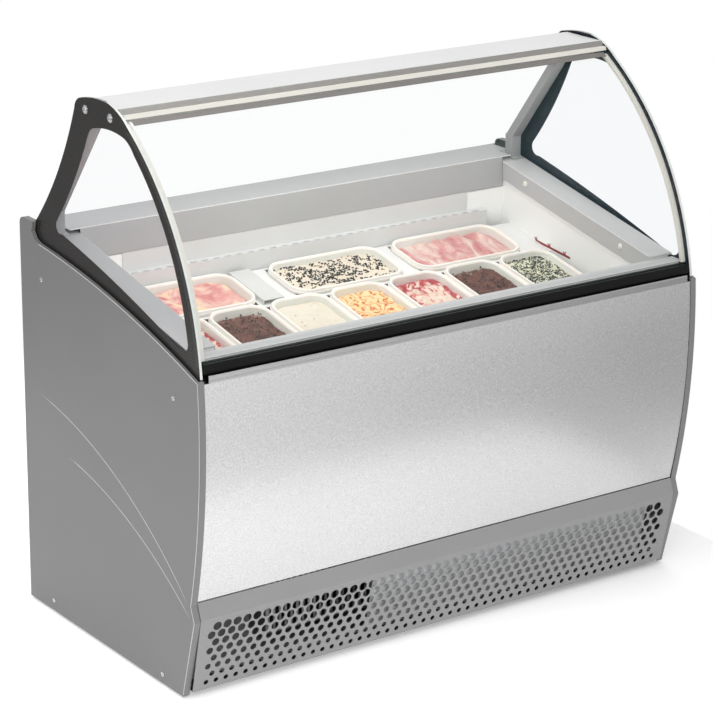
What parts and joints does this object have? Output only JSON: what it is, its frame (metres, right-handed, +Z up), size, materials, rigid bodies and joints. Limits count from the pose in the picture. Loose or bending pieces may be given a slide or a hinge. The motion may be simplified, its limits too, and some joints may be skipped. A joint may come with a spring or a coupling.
{
  "type": "ice cream display freezer",
  "caption": "Scooping freezer with a tilting curved front glass, flat end glasses and an inclined bed of lift-out ice-cream tubs.",
  "frame": {"origin": "on the floor under the middle of the cabinet", "axes": "+Z up, +X to the right seen from the customer side, +Y towards the server at the rear"},
  "size_m": [1.3244, 0.7226, 1.2073],
  "materials": {
    "painted_steel": "satin",
    "galvanised_steel": "matt",
    "stainless": "satin",
    "bright_profile": "satin",
    "rim_grey": "satin",
    "white_plastic": "satin",
    "foam_body": "matt",
    "black_plastic": "matt",
    "compressor_paint": "gloss",
    "clear_glass": "polished",
    "ivory_seal": "matt"
  },
  "bodies": {
    "cabinet": {"base_grille": "painted_steel", "base_tray": "galvanised_steel", "bay_walls": "galvanised_steel", "cable_inlet": "black_plastic", "canopy_front": "bright_profile", "canopy_top": "bright_profile", "compressor": "compressor_paint", "condenser": "bright_profile", "control_panel": "black_plastic", "display_window": "black_plastic", "end_bolts": "stainless", "end_glass_left": "clear_glass", "end_glass_right": "clear_glass", "evaporator_coil": "galvanised_steel", "evaporator_cover": "white_plastic", "fan_shroud": "galvanised_steel", "feet": "black_plastic", "filler_strip": "white_plastic", "front_panel": "stainless", "grille_baffle": "painted_steel", "hinge_knuckles": "galvanised_steel", "insulated_body": "foam_body", "light_diffuser": "white_plastic", "pan_rails": "stainless", "post_left": "bright_profile", "post_right": "bright_profile", "rear_grille": "painted_steel", "rear_panel": "painted_steel", "rear_shelf": "stainless", "rim_front": "rim_grey", "rim_left": "rim_grey", "rim_plugs": "white_plastic", "rim_right": "rim_grey", "side_frames": "galvanised_steel", "side_panel_left": "painted_steel", "side_panel_right": "painted_steel", "side_screws": "stainless", "switch_box": "black_plastic", "tank_liner": "white_plastic", "trim_profile": "bright_profile"},
    "front_glass_unit": {"front_glass": "clear_glass", "glass_clamp": "black_plastic", "hinge_pins": "stainless", "glass_top_seal": "ivory_seal", "glass_side_seals": "ivory_seal"},
    "fan": {"fan_blade": "black_plastic"},
    "rocker": {"rocker_switch": "black_plastic"},
    "tub_front_1": {"tub_front_1": "white_plastic"},
    "tub_front_2": {"tub_front_2": "white_plastic"},
    "tub_front_3": {"tub_front_3": "white_plastic"},
    "tub_front_4": {"tub_front_4": "white_plastic"},
    "tub_front_5": {"tub_front_5": "white_plastic"},
    "tub_front_6": {"tub_front_6": "white_plastic"},
    "tub_front_7": {"tub_front_7": "white_plastic"},
    "tub_rear_1": {"tub_rear_1": "white_plastic"},
    "tub_rear_2": {"tub_rear_2": "white_plastic"},
    "tub_rear_3": {"tub_rear_3": "white_plastic"}
  },
  "joints": [
    {"name": "front_glass_tilt", "type": "hinge", "parent": "cabinet", "child": "front_glass_unit", "pos_m": [0, -0.34, 0.7295], "axis": [1, 0, 0], "range_deg": [0, 60]},
    {"name": "fan_spin", "type": "hinge", "parent": "cabinet", "child": "fan", "pos_m": [-0.25, -0.095, 0.2], "axis": [0, 1, 0], "continuous": true},
    {"name": "rocker_tip", "type": "hinge", "parent": "cabinet", "child": "rocker", "pos_m": [0.51, 0.346, 0.64], "axis": [1, 0, 0], "range_deg": [0, 20]},
    {"name": "tub_front_1_lift", "type": "slide", "parent": "cabinet", "child": "tub_front_1", "axis": [0, -0.2008, 0.9796], "range_m": [0, 0.15]},
    {"name": "tub_front_2_lift", "type": "slide", "parent": "cabinet", "child": "tub_front_2", "axis": [0, -0.2008, 0.9796], "range_m": [0, 0.15]},
    {"name": "tub_front_3_lift", "type": "slide", "parent": "cabinet", "child": "tub_front_3", "axis": [0, -0.2008, 0.9796], "range_m": [0, 0.15]},
    {"name": "tub_front_4_lift", "type": "slide", "parent": "cabinet", "child": "tub_front_4", "axis": [0, -0.2008, 0.9796], "range_m": [0, 0.15]},
    {"name": "tub_front_5_lift", "type": "slide", "parent": "cabinet", "child": "tub_front_5", "axis": [0, -0.2008, 0.9796], "range_m": [0, 0.15]},
    {"name": "tub_front_6_lift", "type": "slide", "parent": "cabinet", "child": "tub_front_6", "axis": [0, -0.2008, 0.9796], "range_m": [0, 0.15]},
    {"name": "tub_front_7_lift", "type": "slide", "parent": "cabinet", "child": "tub_front_7", "axis": [0, -0.2008, 0.9796], "range_m": [0, 0.15]},
    {"name": "tub_rear_1_lift", "type": "slide", "parent": "cabinet", "child": "tub_rear_1", "axis": [0, -0.2008, 0.9796], "range_m": [0, 0.15]},
    {"name": "tub_rear_2_lift", "type": "slide", "parent": "cabinet", "child": "tub_rear_2", "axis": [0, -0.2008, 0.9796], "range_m": [0, 0.15]},
    {"name": "tub_rear_3_lift", "type": "slide", "parent": "cabinet", "child": "tub_rear_3", "axis": [0, -0.2008, 0.9796], "range_m": [0, 0.15]}
  ]
}
